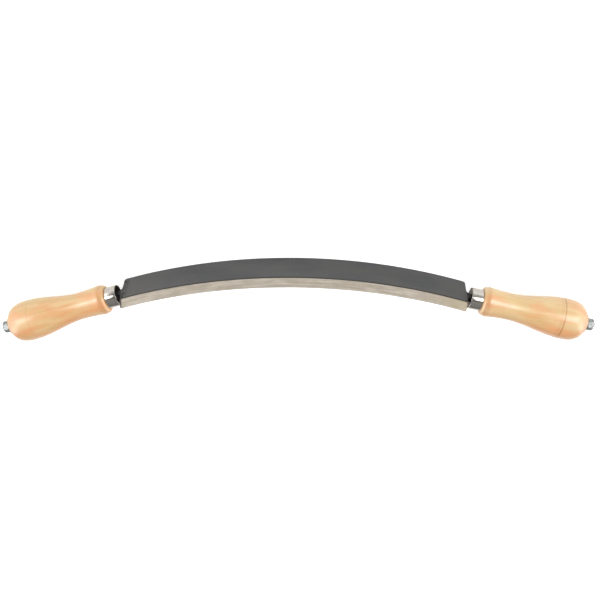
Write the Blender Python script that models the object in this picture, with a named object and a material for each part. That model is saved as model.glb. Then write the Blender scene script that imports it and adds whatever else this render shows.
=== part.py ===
"""Bowed drawknife: a bent steel blade with a tang at each end, and a turned handle held on each tang.

The knife stands on its spine with the cutting edge up. X runs along its length, the blade bows
towards -Y, and the ground bevel is on that outer face. The floor under the spine is z = 0.
"""

import math

import bmesh
import bpy
from mathutils import Matrix, Vector

# Blade, a flat bar bent out of its own plane. The radius is that of its middle surface.
BLADE_CHORD = 0.330
BLADE_RADIUS = 0.523
BLADE_WIDTH = 0.043
BLADE_THICKNESS = 0.0045
BEVEL_ANGLE = math.radians(25)
EDGE_LAND = 0.00025
SPINE_ROUND = 0.0006
SPINE_CORNER = 0.0025
EDGE_CORNER = 0.0012
CORNER_ANGLES = [math.radians(degrees) for degrees in (35, 65, 90)]
BLADE_STATIONS = 36
INNER_FACE_SHARES = (0.3, 0.55, 0.8, 1.0)

# Tang, one forging with the blade. It leaves the blade's end at this height above the spine.
TANG_HEIGHT = 0.0223
TANG_EXPOSED = 0.0038
TANG_WIDTH = 0.0070
TANG_DEPTH = 0.0060
TANG_CORNER = 0.0014
FLARE_WIDTH = 0.0155
FLARE_DEPTH = 0.00465
FLARE_ROOT = 0.00025
FLARE_STEPS = 4
THREAD_RADIUS = 0.0030
THREAD_LENGTH = 0.016
THREAD_END_CHAMFER = 0.0006
THREAD_PAST_NUT = 0.0013

# Handle axes, level with the floor: each is bent back this far from the line of the blade's chord.
BEND = {"left": math.radians(14.6), "right": math.radians(19.1)}
SIDE_SIGN = {"left": -1, "right": 1}

# Wooden handle, a turning. Radii along its length are measured from the shoulder at the ferrule.
HANDLE_LENGTH = 0.1052
BORE_RADIUS = 0.0045
NECK_RADIUS = 0.0090
NECK_CHAMFER = 0.0006
LIP_RADIUS = 0.0108
LIP_ROUND = 0.0030
LIP_ROUND_END = math.radians(-12)
COLLAR_RADIUS = 0.0145
COLLAR_AT = 0.0058
WAIST_RADIUS = 0.0129
WAIST_AT = 0.0288
BULB_RADIUS = 0.01985
BULB_AT = 0.0830
BULB_FULLNESS = 2.6
BULB_END_ANGLES = [math.radians(degrees) for degrees in (0, 14, 28, 41, 53, 64, 74, 83)]
GROOVE_AT = 0.0785
GROOVE_DEPTH = 0.0003
GROOVE_HALF_WIDTH = 0.0005
SPOT_RADIUS = 0.0070
SPOT_DEPTH = 0.0006
SPOT_RIM = 0.0092
SPOT_RIM_DROP = 0.0003

# Ferrule, a short steel tube round the neck.
FERRULE_RADIUS = 0.01025
FERRULE_WALL = 0.0009
FERRULE_LENGTH = 0.0117
FERRULE_CHAMFER = 0.0003
NECK_SETBACK = 0.0070

# Washer and M6 nut on the end of the tang.
WASHER_RADIUS = 0.0060
WASHER_THICKNESS = 0.0016
NUT_ACROSS_FLATS = 0.0100
NUT_HEIGHT = 0.0058
NUT_FACE = 0.95
NUT_CHAMFER_ANGLE = math.radians(30)
HOLE_RADIUS = 0.0033

GAP = 0.0003
LATHE_SEGMENTS = 40
NUT_SEGMENTS = 36
ARC_STEPS = 4
SECTION_POINTS = 16
SHARP_ANGLE = math.radians(28)

COLOURS = {
    "lacquered_steel": ((0.115, 0.115, 0.115), 0.42, 0.6),
    "turned_beech": ((0.80, 0.50, 0.26), 0.38, 0.0),
    "bright_steel": ((0.62, 0.59, 0.54), 0.30, 1.0),
    "zinc_plate": ((0.66, 0.68, 0.68), 0.28, 1.0),
}


def clear_scene():
    for thing in list(bpy.data.objects):
        bpy.data.objects.remove(thing, do_unlink=True)


def make_material(name):
    colour, roughness, metallic = COLOURS[name]
    material = bpy.data.materials.new(name)
    material.use_nodes = True
    shader = material.node_tree.nodes["Principled BSDF"]
    shader.inputs["Base Color"].default_value = (*colour, 1.0)
    shader.inputs["Roughness"].default_value = roughness
    shader.inputs["Metallic"].default_value = metallic
    return material


def add_object(name, mesh, material_name, parent):
    """Link a finished mesh as a named sub-part with its own material, shaded smooth."""
    mesh.shade_smooth()
    mesh.set_sharp_from_angle(angle=SHARP_ANGLE)
    mesh.materials.append(make_material(material_name))
    piece = bpy.data.objects.new(name, mesh)
    piece.parent = parent
    bpy.context.scene.collection.objects.link(piece)
    return piece


def add_empty(name, parent, matrix):
    empty = bpy.data.objects.new(name, None)
    empty.parent = parent
    empty.matrix_local = matrix
    bpy.context.scene.collection.objects.link(empty)
    return empty


def skin(name, rings, closed_tube):
    """Join rings of equal size by quads; a tube closes on itself, a bar gets an end face each side."""
    work = bmesh.new()
    loops = [[work.verts.new(point) for point in ring] for ring in rings]
    spans = list(zip(loops, loops[1:]))
    if closed_tube:
        spans.append((loops[-1], loops[0]))
    count = len(rings[0])
    for first, second in spans:
        for i in range(count):
            j = (i + 1) % count
            work.faces.new((first[i], first[j], second[j], second[i]))
    if not closed_tube:
        work.faces.new(loops[0])
        work.faces.new(loops[-1])
    bmesh.ops.recalc_face_normals(work, faces=work.faces)
    mesh = bpy.data.meshes.new(name)
    work.to_mesh(mesh)
    work.free()
    return mesh


def arc(centre, radius, start, end, steps=ARC_STEPS):
    """Points on a circular arc, both ends included."""
    points = []
    for i in range(steps + 1):
        angle = start + (end - start) * i / steps
        points.append((centre[0] + radius * math.cos(angle), centre[1] + radius * math.sin(angle)))
    return points


def lathe(name, outline):
    """Turn a closed outline of (radius, height) points round the local Z axis."""
    rings = []
    for radius, height in outline:
        ring = []
        for i in range(LATHE_SEGMENTS):
            angle = math.tau * i / LATHE_SEGMENTS
            ring.append((radius * math.cos(angle), radius * math.sin(angle), height))
        rings.append(ring)
    return skin(name, rings, closed_tube=True)


# ---------------------------------------------------------------- blade and tangs

QUARTER = math.pi / 2
END_ANGLE = math.asin(BLADE_CHORD / 2 / BLADE_RADIUS)
BEVEL_RISE = (BLADE_THICKNESS - EDGE_LAND) / math.tan(BEVEL_ANGLE)
NUT_SEAT = HANDLE_LENGTH - SPOT_DEPTH + WASHER_THICKNESS + 2 * GAP
SHOULDER_AT = TANG_EXPOSED + FERRULE_LENGTH
TANG_LENGTH = SHOULDER_AT + NUT_SEAT + NUT_HEIGHT + THREAD_PAST_NUT


def arc_frame(angle):
    """Point on the blade's middle surface at spine height, and the outward direction there."""
    outward = Vector((math.sin(angle), -math.cos(angle), 0))
    return Vector((0, BLADE_RADIUS, 0)) + outward * BLADE_RADIUS, outward


def blade_section(spine_trim, edge_trim):
    """Sixteen (outward, height) points of the bar, its spine and its edge cut back by their trims."""
    half = BLADE_THICKNESS / 2
    top = BLADE_WIDTH - edge_trim
    edge = -half + EDGE_LAND + edge_trim * math.tan(BEVEL_ANGLE)
    bevel_foot = BLADE_WIDTH - BEVEL_RISE
    bevel = []
    for i in range(4):
        share = i / 3
        bevel.append((edge + (half - edge) * share, top + (bevel_foot - top) * share))
    low = spine_trim + SPINE_ROUND
    outer_corner = arc((half - SPINE_ROUND, low), SPINE_ROUND, 0, -QUARTER, 3)
    inner_corner = arc((-half + SPINE_ROUND, low), SPINE_ROUND, -QUARTER, -math.pi, 3)
    inner_face = [(-half, low + (top - low) * share) for share in INNER_FACE_SHARES]
    return bevel + outer_corner + inner_corner + inner_face


def flat_section(depth, width):
    """Sixteen (outward, height) points of a rounded rectangle, starting at the same corner."""
    x = depth / 2 - TANG_CORNER
    z = width / 2 - TANG_CORNER
    points = []
    for corner, (sign_x, sign_z) in enumerate(((1, 1), (1, -1), (-1, -1), (-1, 1))):
        start = QUARTER * (1 - corner)
        points += arc((sign_x * x, sign_z * z), TANG_CORNER, start, start - QUARTER, 3)
    return points


def round_section(radius):
    """Sixteen (outward, height) points of a circle, in step with the other sections."""
    half_step = math.pi / SECTION_POINTS
    return arc((0, 0), radius, QUARTER - half_step, half_step - 3 * QUARTER, SECTION_POINTS - 1)


def corner_trim(radius, distance):
    """How deep a rounded corner of this radius cuts in, this far from the blade's end."""
    short = max(0.0, radius - distance)
    return radius - math.sqrt(radius ** 2 - short ** 2)


def blade_rings():
    """Rings along the arc, closer together where the corners of the two ends are rounded."""
    reach = END_ANGLE - SPINE_CORNER / BLADE_RADIUS
    angles = [-reach + 2 * reach * i / BLADE_STATIONS for i in range(BLADE_STATIONS + 1)]
    for turn in CORNER_ANGLES:
        angle = END_ANGLE - SPINE_CORNER * (1 - math.sin(turn)) / BLADE_RADIUS
        angles = [-angle] + angles + [angle]
    rings = []
    for angle in angles:
        base, outward = arc_frame(angle)
        from_end = (END_ANGLE - abs(angle)) * BLADE_RADIUS
        section = blade_section(corner_trim(SPINE_CORNER, from_end), corner_trim(EDGE_CORNER, from_end))
        rings.append([base + outward * x + Vector((0, 0, z)) for x, z in section])
    return rings


def handle_direction(side):
    """Unit vector of the handle's axis, from the blade towards the handle's tip."""
    return Vector((SIDE_SIGN[side] * math.cos(BEND[side]), math.sin(BEND[side]), 0))


def tang_root(side):
    base, _ = arc_frame(SIDE_SIGN[side] * END_ANGLE)
    return base + Vector((0, 0, TANG_HEIGHT))


def tang_stations():
    """(distance from the blade's end, section) down the tang: its flare, its bar and its thread."""
    stations = []
    for i in range(FLARE_STEPS + 1):
        share = i / FLARE_STEPS
        ease = (1 - share) ** 2
        depth = TANG_DEPTH + (FLARE_DEPTH - TANG_DEPTH) * ease
        width = TANG_WIDTH + (FLARE_WIDTH - TANG_WIDTH) * ease
        stations.append((FLARE_ROOT + (TANG_EXPOSED - FLARE_ROOT) * share, flat_section(depth, width)))
    thread_start = TANG_LENGTH - THREAD_LENGTH
    stations.append((thread_start - THREAD_RADIUS, flat_section(TANG_DEPTH, TANG_DEPTH)))
    stations.append((thread_start, round_section(THREAD_RADIUS)))
    stations.append((TANG_LENGTH - THREAD_END_CHAMFER, round_section(THREAD_RADIUS)))
    stations.append((TANG_LENGTH, round_section(THREAD_RADIUS - THREAD_END_CHAMFER)))
    return stations


def tang_rings(side):
    """Rings from the blade's end to the threaded tip, turning from the blade's line to the handle's."""
    sign = SIDE_SIGN[side]
    _, blade_outward = arc_frame(sign * END_ANGLE)
    direction = handle_direction(side)
    handle_outward = Vector((0, 0, -sign)).cross(direction)
    root = tang_root(side)
    rings = []
    for distance, section in tang_stations():
        outward = blade_outward.lerp(handle_outward, min(1.0, distance / TANG_EXPOSED)).normalized()
        centre = root + direction * distance
        rings.append([centre + outward * x + Vector((0, 0, z)) for x, z in section])
    return rings


def build_blade(parent):
    rings = list(reversed(tang_rings("left"))) + blade_rings() + tang_rings("right")
    add_object("blade", skin("blade", rings, closed_tube=False), "lacquered_steel", parent)


# ---------------------------------------------------------------- handle, ferrule and fixings


def ease_between(start, end, share):
    """Smooth step from one radius to the next, level at both ends."""
    return start + (end - start) * (3 * share ** 2 - 2 * share ** 3)


def handle_outline():
    """Closed outline of the turning from the neck's front, along its outside and back up its bore."""
    neck_front = -(FERRULE_LENGTH - NECK_SETBACK)
    outline = [(BORE_RADIUS, neck_front)]
    outline += [(NECK_RADIUS - NECK_CHAMFER, neck_front), (NECK_RADIUS, neck_front + NECK_CHAMFER)]
    outline += [(NECK_RADIUS, 0.0)]
    outline += arc((LIP_RADIUS, LIP_ROUND), LIP_ROUND, -QUARTER, LIP_ROUND_END)
    lip_side = outline[-1][0]
    for share in (0.5, 1.0):
        height = LIP_ROUND + (COLLAR_AT - LIP_ROUND) * share
        outline.append((ease_between(lip_side, COLLAR_RADIUS, share), height))
    for i in range(1, 5):
        share = i / 4
        height = COLLAR_AT + (WAIST_AT - COLLAR_AT) * share
        fall = (1 - share) ** 2
        outline.append((WAIST_RADIUS + (COLLAR_RADIUS - WAIST_RADIUS) * fall, height))
    for i in range(1, 8):
        share = i / 8
        height = WAIST_AT + (BULB_AT - WAIST_AT) * share
        outline.append((ease_between(WAIST_RADIUS, BULB_RADIUS, share), height))
    for step, depth in ((-1, 0), (0, GROOVE_DEPTH), (1, 0)):
        outline.append((BULB_RADIUS - depth, GROOVE_AT + step * GROOVE_HALF_WIDTH))
    outline += bulb_end()
    outline += [(SPOT_RADIUS, HANDLE_LENGTH), (SPOT_RADIUS, HANDLE_LENGTH - SPOT_DEPTH)]
    outline += [(BORE_RADIUS, HANDLE_LENGTH - SPOT_DEPTH)]
    return outline


def bulb_end():
    """The bulb's rounded end: a quarter of a superellipse down to the rim round the spot face."""
    depth = HANDLE_LENGTH - BULB_AT
    points = []
    for angle in BULB_END_ANGLES:
        radius = BULB_RADIUS * math.cos(angle) ** (2 / BULB_FULLNESS)
        height = BULB_AT + depth * math.sin(angle) ** (2 / BULB_FULLNESS)
        if radius > SPOT_RIM:
            points.append((radius, height))
    return points + [(SPOT_RIM, HANDLE_LENGTH - SPOT_RIM_DROP)]


def tube_outline(inner, outer, bottom, top, chamfer):
    """Closed outline of a plain ring with its outer corners chamfered."""
    return [
        (inner, bottom),
        (outer - chamfer, bottom),
        (outer, bottom + chamfer),
        (outer, top - chamfer),
        (outer - chamfer, top),
        (inner, top),
    ]


def nut_mesh(name):
    """Hexagonal nut with its corners cut back by a cone on both faces and a round hole."""
    half_flats = NUT_ACROSS_FLATS / 2
    face_radius = NUT_FACE * half_flats
    corner_drop = (half_flats / math.cos(math.radians(30)) - face_radius) * math.tan(NUT_CHAMFER_ANGLE)
    levels = [0.0, corner_drop / 2, corner_drop]
    heights = levels + [NUT_HEIGHT - level for level in reversed(levels)]
    rings = [[hole_point(i, 0.0) for i in range(NUT_SEGMENTS)]]
    for height in heights:
        depth = min(height, NUT_HEIGHT - height)
        cone = face_radius + depth / math.tan(NUT_CHAMFER_ANGLE)
        ring = []
        for i in range(NUT_SEGMENTS):
            angle = math.tau * i / NUT_SEGMENTS
            from_flat = (angle + math.pi / 6) % (math.pi / 3) - math.pi / 6
            radius = min(half_flats / math.cos(from_flat), cone)
            ring.append((radius * math.cos(angle), radius * math.sin(angle), height))
        rings.append(ring)
    rings.append([hole_point(i, NUT_HEIGHT) for i in range(NUT_SEGMENTS)])
    return skin(name, rings, closed_tube=True)


def hole_point(index, height):
    angle = math.tau * index / NUT_SEGMENTS
    return (HOLE_RADIUS * math.cos(angle), HOLE_RADIUS * math.sin(angle), height)


def build_handle(side, parent):
    """Handle, ferrule, washer and nut on one axis, with the wood's shoulder as their origin."""
    direction = handle_direction(side)
    place = Matrix.Translation(tang_root(side) + direction * SHOULDER_AT)
    turn = direction.to_track_quat("Z", "Y").to_matrix().to_4x4()
    axis = add_empty(f"axis_{side}", parent, place @ turn)

    add_object(f"handle_{side}", lathe(f"handle_{side}", handle_outline()), "turned_beech", axis)

    inner = FERRULE_RADIUS - FERRULE_WALL
    outline = tube_outline(inner, FERRULE_RADIUS, -FERRULE_LENGTH, -GAP, FERRULE_CHAMFER)
    add_object(f"ferrule_{side}", lathe(f"ferrule_{side}", outline), "bright_steel", axis)

    seat = HANDLE_LENGTH - SPOT_DEPTH + GAP
    outline = tube_outline(HOLE_RADIUS, WASHER_RADIUS, seat, seat + WASHER_THICKNESS, GAP)
    add_object(f"washer_{side}", lathe(f"washer_{side}", outline), "zinc_plate", axis)

    nut = add_object(f"nut_{side}", nut_mesh(f"nut_{side}"), "zinc_plate", axis)
    nut.location = (0, 0, NUT_SEAT)


def centre_on_origin(root):
    """Move the whole knife so that its box is centred on X and Y; it already stands on z = 0."""
    bpy.context.view_layer.update()
    points = []
    for piece in bpy.data.objects:
        if piece.type == "MESH":
            points += [piece.matrix_world @ vertex.co for vertex in piece.data.vertices]
    for axis in (0, 1):
        values = [point[axis] for point in points]
        root.location[axis] = -(min(values) + max(values)) / 2


def build():
    clear_scene()
    root = add_empty("drawknife", None, Matrix.Identity(4))
    build_blade(root)
    for side in SIDE_SIGN:
        build_handle(side, root)
    centre_on_origin(root)


build()
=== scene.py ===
"""Looks of the bowed drawknife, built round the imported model: fine meshes and procedural finishes.

Lengths are metres in the row frame. The knife stands on its spine, X runs along it, and the blade's
bevelled outer face looks towards -Y.
"""

import math

import bpy
from mathutils import Matrix, Quaternion, Vector, noise


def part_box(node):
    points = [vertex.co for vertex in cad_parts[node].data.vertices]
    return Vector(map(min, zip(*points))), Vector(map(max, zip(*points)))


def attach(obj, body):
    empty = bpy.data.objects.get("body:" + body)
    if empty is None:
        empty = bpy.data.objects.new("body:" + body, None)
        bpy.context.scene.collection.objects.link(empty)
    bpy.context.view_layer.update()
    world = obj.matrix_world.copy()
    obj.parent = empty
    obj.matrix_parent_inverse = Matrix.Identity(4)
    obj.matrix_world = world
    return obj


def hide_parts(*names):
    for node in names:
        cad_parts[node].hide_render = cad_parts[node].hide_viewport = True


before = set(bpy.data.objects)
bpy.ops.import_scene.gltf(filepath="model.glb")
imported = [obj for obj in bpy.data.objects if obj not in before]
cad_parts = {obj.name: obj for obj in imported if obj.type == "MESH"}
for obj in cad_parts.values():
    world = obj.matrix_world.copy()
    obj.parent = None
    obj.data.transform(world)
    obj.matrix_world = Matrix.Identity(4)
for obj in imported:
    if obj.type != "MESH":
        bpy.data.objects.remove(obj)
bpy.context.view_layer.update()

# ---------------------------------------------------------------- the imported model's dimensions

BLADE_CHORD = 0.330
BLADE_RADIUS = 0.523
BLADE_WIDTH = 0.043
BLADE_THICKNESS = 0.0045
BEVEL_ANGLE = math.radians(25)
EDGE_LAND = 0.00025
SPINE_ROUND = 0.0006
SPINE_CORNER = 0.0025
EDGE_CORNER = 0.0012

TANG_HEIGHT = 0.0223
TANG_EXPOSED = 0.0038
TANG_WIDTH = 0.0070
TANG_DEPTH = 0.0060
TANG_CORNER = 0.0014
FLARE_WIDTH = 0.0155
FLARE_DEPTH = 0.00465
FLARE_ROOT = 0.00025
THREAD_RADIUS = 0.0030
THREAD_LENGTH = 0.016
THREAD_END_CHAMFER = 0.0006
THREAD_PAST_NUT = 0.0013

BEND = {"left": math.radians(14.6), "right": math.radians(19.1)}
SIDE_SIGN = {"left": -1, "right": 1}

HANDLE_LENGTH = 0.1052
BORE_RADIUS = 0.0045
NECK_RADIUS = 0.0090
NECK_CHAMFER = 0.0006
LIP_RADIUS = 0.0108
LIP_ROUND = 0.0030
LIP_ROUND_END = math.radians(-12)
COLLAR_RADIUS = 0.0145
COLLAR_AT = 0.0058
WAIST_RADIUS = 0.0129
WAIST_AT = 0.0288
BULB_RADIUS = 0.01985
BULB_AT = 0.0830
BULB_FULLNESS = 2.6
GROOVE_AT = 0.0785
GROOVE_HALF_WIDTH = 0.0005
SPOT_RADIUS = 0.0070
SPOT_DEPTH = 0.0006
SPOT_RIM = 0.0092
SPOT_RIM_DROP = 0.0003

FERRULE_RADIUS = 0.01025
FERRULE_WALL = 0.0009
FERRULE_LENGTH = 0.0117
NECK_SETBACK = 0.0070

WASHER_RADIUS = 0.0060
WASHER_THICKNESS = 0.0016
NUT_ACROSS_FLATS = 0.0100
NUT_HEIGHT = 0.0058
NUT_FACE = 0.95
NUT_CHAMFER_ANGLE = math.radians(30)
HOLE_RADIUS = 0.0033
GAP = 0.0003

QUARTER = math.pi / 2
END_ANGLE = math.asin(BLADE_CHORD / 2 / BLADE_RADIUS)
BLADE_HALF_ARC = END_ANGLE * BLADE_RADIUS
BEVEL_RISE = (BLADE_THICKNESS - EDGE_LAND) / math.tan(BEVEL_ANGLE)
BEVEL_FOOT = BLADE_WIDTH - BEVEL_RISE
NUT_SEAT = HANDLE_LENGTH - SPOT_DEPTH + WASHER_THICKNESS + 2 * GAP
SHOULDER_AT = TANG_EXPOSED + FERRULE_LENGTH
TANG_LENGTH = SHOULDER_AT + NUT_SEAT + NUT_HEIGHT + THREAD_PAST_NUT

# ---------------------------------------------------------------- what the looks add

# How finely the blade's skin is drawn, along the arc and round its section.
BLADE_STATIONS = 240
BEVEL_POINTS = 10
FACE_POINTS = 12
CORNER_STEPS = 5
END_STEPS = 9
SPINE_POINTS = 3
INNER_POINTS = 20
FLARE_STEPS = 12

# The bevel's foot: how soft its crease is, and how far and how often it wanders along the arc.
CREASE_SOFTNESS = 0.00012
GRIND_WANDER = 0.00014
WANDER_RATE = 38
WANDER_START = (2.7, 0.4)

# How far wear reaches in from the bar's corners, how wide the honed strip is, how near the inner
# face a point has to be to be honed, and how the "bar" attribute marks the outer face (+) and the
# inner face (-).
WEAR_REACH = 0.0012
HONED_STRIP = 0.004
HONED_DEPTH = EDGE_LAND * 1.2
FACE_MARK = 0.1

# Where the blade's finish changes, each from where it starts to where it is full: back from the +X
# end, down from the bevel's foot, and along the arc.
FORGED_REACH = (0.0075, 0.0015)
# Painted shade: the bevel darkens over its last millimetre or two at the +X end, beside the tang and
# ferrule.
END_SHADE_REACH = (0.0020, 0.0010)
# Painted shade: the lacquer darkens to brown-black in a band just above the bevel's crease.
CREASE_SHADE_REACH = (0.0028, 0.0008)
PALER_FROM = 0.085
STRAW_UNTIL = -0.125

# The thread on the end of each tang: an M6 pitch, cut shallower than a real one.
THREAD_PITCH = 0.0010
THREAD_DEPTH = 0.00035
THREAD_RINGS_PER_TURN = 10

# How finely each stretch of the turned handle's outline is drawn.
LATHE_SEGMENTS = 144
LIP_STEPS = 12
COLLAR_STEPS = 8
WAIST_STEPS = 32
FLANK_STEPS = 60
GROOVE_STEPS = 8
SHOULDER_STEPS = 9
CAP_STEPS = 80
SPOT_ARRIS = 0.0003

# The wood: painted shade on the neck, round the lip and in the spot (its arris, its wall and its floor),
# end grain round the lip and over the cap, and the growth bands.
NECK_SHADE = 0.2
LIP_SHADE = 0.12
LIP_SHADE_FALL = 0.04
SPOT_SHADES = (0.1, 0.6, 0.9)
LIP_END_GRAIN_STEPS = 7
CAP_END_GRAIN_POWER = 0.7
YEARS_PER_METRE = 620.0
YEARS_DRIFT = 0.005

# The ferrule's bore: where its painted light side and its other side meet, across it, and where its
# painted shade starts, from its mouth.
MOUTH_LIGHT_SPLIT = (-0.004, 0.001)
DEEP_SHADE_REACH = (0.0030, 0.0080)

RIM_ROUND = 0.00022
RIM_STEPS = 4

# The nut's rings lie at these depths below each face, closest where its corners are cut back.
NUT_SEGMENTS = 180
NUT_LEVELS = (0.0, 0.00005, 0.00012, 0.0002, 0.0003, 0.00042, 0.00055, 0.0007, 0.0009, 0.0012)
NUT_COUNTERSINK = 0.0004
# How far up the nut's sides the painted shade at its base reaches.
NUT_BASE_SHADE_REACH = 0.0011

# How dark the washer is painted below and above, and the nut: its hole and the rim of its hole on the
# washer's side, its outside there, and the rim and the hole on the far side. This is grime mixed with
# painted shade: the washer's underside, the holes and the nut's base against the washer are darkened as
# shade.
WASHER_GRIME_AND_SHADE = (0.55, 0.25)
NUT_GRIME_AND_SHADE = (1.0, 0.8, 0.65, 0.3, 0.9)

# How softly the nut's faces meet, and the angle from which an edge is drawn sharp on any piece.
EDGE_SOFTNESS = 0.00012
SHARP_ANGLE = math.radians(40)

# The two ends' own looks: groove depth as worn, gloss of the lacquer, the wood's pith, where the
# textures start, the burnt rings as (height, half width, strength), and the tone of the spine side
# of the ferrule's bore.
GROOVE_WORN = {"left": 0.00005, "right": 0.00002}
GLOSS = {"left": 1.0, "right": 0.7}
# Each pith lies off towards the view's up, so besides the growth bands the handle's lower side comes out
# warmer and darker orange: painted shade.
PITHS = {"left": (-0.052, 0.0385, 0.0), "right": (0.052, 0.0385, 0.0)}
SEEDS = {"left": 3.7, "right": 9.0}
LIP_RING = (0.0042, 0.0045, 0.30)
BURNT_RINGS = {
    "left": (
        (GROOVE_AT, 0.0012, 0.80),
        (GROOVE_AT - 0.0024, 0.0007, 0.28),
        (GROOVE_AT - 0.0037, 0.0007, 0.20),
        LIP_RING,
    ),
    "right": ((GROOVE_AT, 0.0011, 0.16), LIP_RING),
}
# The spine side of each ferrule's mouth is painted: painted light, a grey, on the left, and painted
# shade, near black, on the right.
SPINE_SIDE_PAINTED_TONE = {"left": (0.50, 0.48, 0.42), "right": (0.030, 0.026, 0.022)}

# The blade's material slots, in order.
LACQUER, GROUND, FORGED, THREAD = range(4)

# ---------------------------------------------------------------- mesh helpers


def arc(centre, radius, start, end, steps):
    """Evenly spaced points of an arc, both ends included."""
    points = []
    for i in range(steps + 1):
        angle = start + (end - start) * i / steps
        points.append((centre[0] + radius * math.cos(angle), centre[1] + radius * math.sin(angle)))
    return points


def straight(start, end, count):
    """Evenly spaced points from start to end, both included."""
    points = []
    for i in range(count):
        share = i / (count - 1)
        points.append(tuple(a + (b - a) * share for a, b in zip(start, end)))
    return points


def ring_mesh(name, rings, closed_tube):
    """Quads between rings of equal size; a bar gets a fan of faces on each end."""
    count = len(rings[0])
    points = [tuple(point) for ring in rings for point in ring]
    faces = []
    spans = len(rings) if closed_tube else len(rings) - 1
    for r in range(spans):
        here, there = r * count, ((r + 1) % len(rings)) * count
        for i in range(count):
            j = (i + 1) % count
            faces.append((here + i, here + j, there + j, there + i))
    if not closed_tube:
        last = (len(rings) - 1) * count
        faces.append(tuple(range(count))[::-1])
        faces.append(tuple(range(last, last + count)))
    mesh = bpy.data.meshes.new(name)
    mesh.from_pydata(points, [], faces)
    return mesh


def signed_volume(mesh):
    mesh.calc_loop_triangles()
    total = 0.0
    for triangle in mesh.loop_triangles:
        a, b, c = (mesh.vertices[i].co for i in triangle.vertices)
        total += a.dot(b.cross(c))
    return total


def finish_mesh(mesh):
    """Faces outward, smooth shading, and creases where the surface turns sharply."""
    if signed_volume(mesh) < 0:
        mesh.flip_normals()
    mesh.shade_smooth()
    mesh.set_sharp_from_angle(angle=SHARP_ANGLE)


def add_attribute(mesh, name, values):
    mesh.attributes.new(name, "FLOAT", "POINT").data.foreach_set("value", values)


def add_vectors(mesh, name, values):
    flat = [number for value in values for number in value]
    mesh.attributes.new(name, "FLOAT_VECTOR", "POINT").data.foreach_set("vector", flat)


def lathe(name, outline):
    """A closed outline of (radius, height), turned about Z."""
    rings = []
    for radius, height in outline:
        ring = []
        for i in range(LATHE_SEGMENTS):
            angle = math.tau * i / LATHE_SEGMENTS
            ring.append((radius * math.cos(angle), radius * math.sin(angle), height))
        rings.append(ring)
    return ring_mesh(name, rings, closed_tube=True)


def per_ring(values, count):
    """One value per ring, repeated for the ring's points."""
    return [value for value in values for _ in range(count)]


def add_piece(name, mesh, materials, node, matrix):
    """A finished piece in its place, riding on the knife's one body and standing for its CAD node."""
    finish_mesh(mesh)
    add_vectors(mesh, "local", [vertex.co for vertex in mesh.vertices])
    mesh.transform(matrix)
    for material in materials:
        mesh.materials.append(material)
    piece = bpy.data.objects.new(name, mesh)
    bpy.context.scene.collection.objects.link(piece)
    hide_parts(node)
    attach(piece, "root")
    return piece


# ---------------------------------------------------------------- material helpers


class Nodes:
    """Short calls for adding nodes to a tree, a material's or the world's."""

    def __init__(self, tree):
        self.tree = tree

    def node(self, kind, **settings):
        made = self.tree.nodes.new(kind)
        for key, value in settings.items():
            setattr(made, key, value)
        return made

    def feed(self, value, socket):
        """Links another node's output to the socket, or sets the socket to a plain value."""
        if isinstance(value, bpy.types.NodeSocket):
            self.tree.links.new(value, socket)
        else:
            socket.default_value = value

    def math(self, operation, a, b=0.0):
        made = self.node("ShaderNodeMath", operation=operation)
        self.feed(a, made.inputs[0])
        self.feed(b, made.inputs[1])
        return made.outputs[0]

    def spread(self, value, low, high, to_low=0.0, to_high=1.0):
        """Maps low..high smoothly onto to_low..to_high, held at both ends."""
        made = self.node("ShaderNodeMapRange", interpolation_type="SMOOTHSTEP")
        self.feed(value, made.inputs["Value"])
        made.inputs["From Min"].default_value = low
        made.inputs["From Max"].default_value = high
        made.inputs["To Min"].default_value = to_low
        made.inputs["To Max"].default_value = to_high
        return made.outputs[0]


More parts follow.
